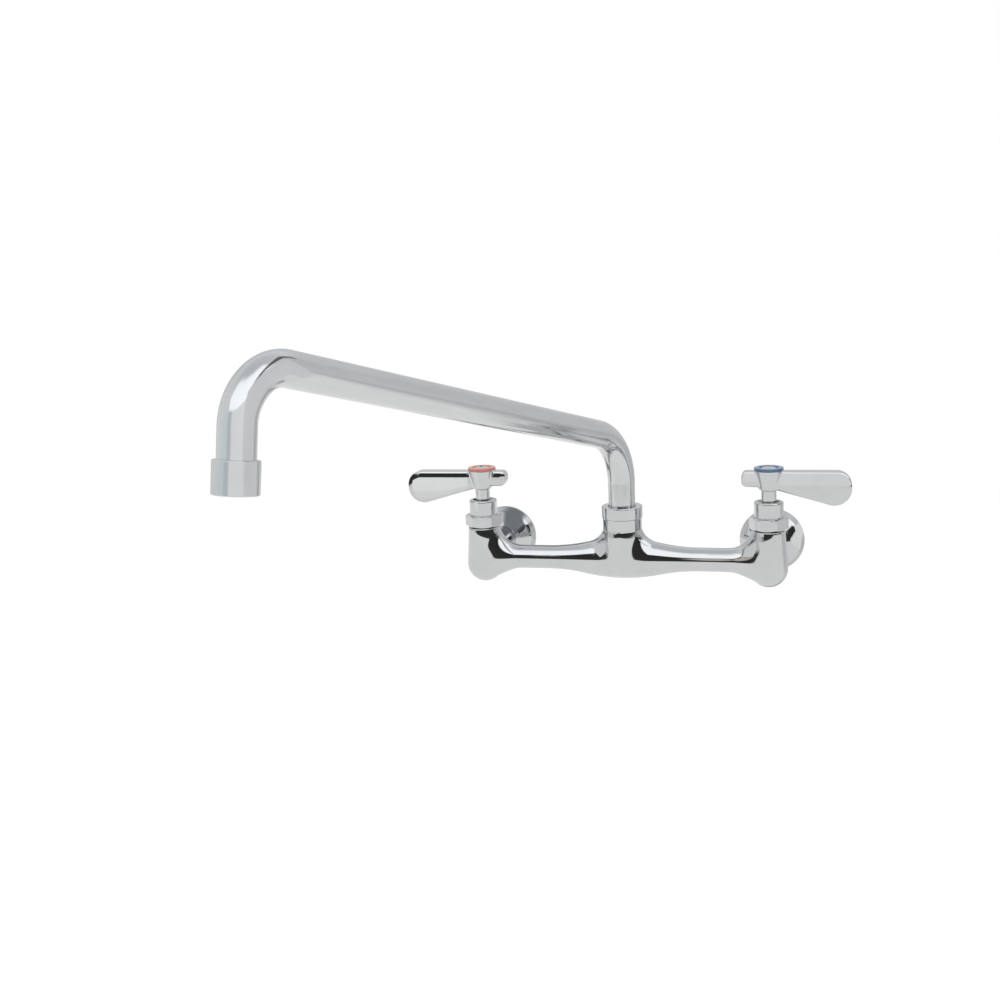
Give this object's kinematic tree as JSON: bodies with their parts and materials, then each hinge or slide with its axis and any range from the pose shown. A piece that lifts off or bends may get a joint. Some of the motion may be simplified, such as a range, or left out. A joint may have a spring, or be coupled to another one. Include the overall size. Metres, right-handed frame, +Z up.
{
  "type": "splash mount faucet",
  "caption": "Chrome wall mount kitchen faucet with lever valves on a cross body and a long swing spout that ends in an aerator.",
  "frame": {"origin": "on the wall face, midway between the two inlets and level with their axes", "axes": "+X to the right along the inlets (cold side), +Y into the wall, +Z up"},
  "size_m": [0.3132, 0.4098, 0.1988],
  "materials": {
    "chrome": "polished chrome plate on brass",
    "spout_chrome": "chrome plated tube",
    "brass": "machined brass",
    "steel": "stainless",
    "rubber": "matte",
    "fibre": "pressed fibre",
    "ceramic": "lapped ceramic",
    "white_plastic": "moulded",
    "index_red": "glossy",
    "index_blue": "glossy"
  },
  "bodies": {
    "faucet": {"faucet_body": "chrome", "swivel_nut": "chrome", "wall_flange_hot": "chrome", "inlet_washer_hot": "fibre", "bonnet_hot": "chrome", "bonnet_gasket_hot": "fibre", "fixed_disc_hot": "ceramic", "seat_seal_hot": "rubber", "wall_flange_cold": "chrome", "inlet_washer_cold": "fibre", "bonnet_cold": "chrome", "bonnet_gasket_cold": "fibre", "fixed_disc_cold": "ceramic", "seat_seal_cold": "rubber"},
    "hot_handle": {"lever_handle_hot": "chrome", "index_ring_hot": "index_red", "handle_screw_hot": "chrome", "stem_hot": "chrome", "stem_o_rings_hot": "rubber", "stem_clip_hot": "steel", "rotating_disc_hot": "ceramic"},
    "cold_handle": {"lever_handle_cold": "chrome", "index_ring_cold": "index_blue", "handle_screw_cold": "chrome", "stem_cold": "chrome", "stem_o_rings_cold": "rubber", "stem_clip_cold": "steel", "rotating_disc_cold": "ceramic"},
    "spout": {"spout_tube": "spout_chrome", "spout_sleeve": "brass", "spout_o_rings": "rubber", "swivel_washer": "white_plastic", "aerator_housing": "chrome", "aerator_gasket": "rubber", "aerator_screen": "steel", "aerator_insert": "white_plastic"}
  },
  "joints": [
    {"name": "spout_swing", "type": "hinge", "parent": "faucet", "child": "spout", "pos_m": [0, -0.0666, 0], "axis": [0, 0, 1], "range_deg": [-68.5, 111.5]},
    {"name": "hot_turn", "type": "hinge", "parent": "faucet", "child": "hot_handle", "pos_m": [-0.1016, -0.0666, 0], "axis": [0, 0, 1], "range_deg": [0, 90]},
    {"name": "cold_turn", "type": "hinge", "parent": "faucet", "child": "cold_handle", "pos_m": [0.1016, -0.0666, 0], "axis": [0, 0, 1], "range_deg": [-90, 0]}
  ]
}
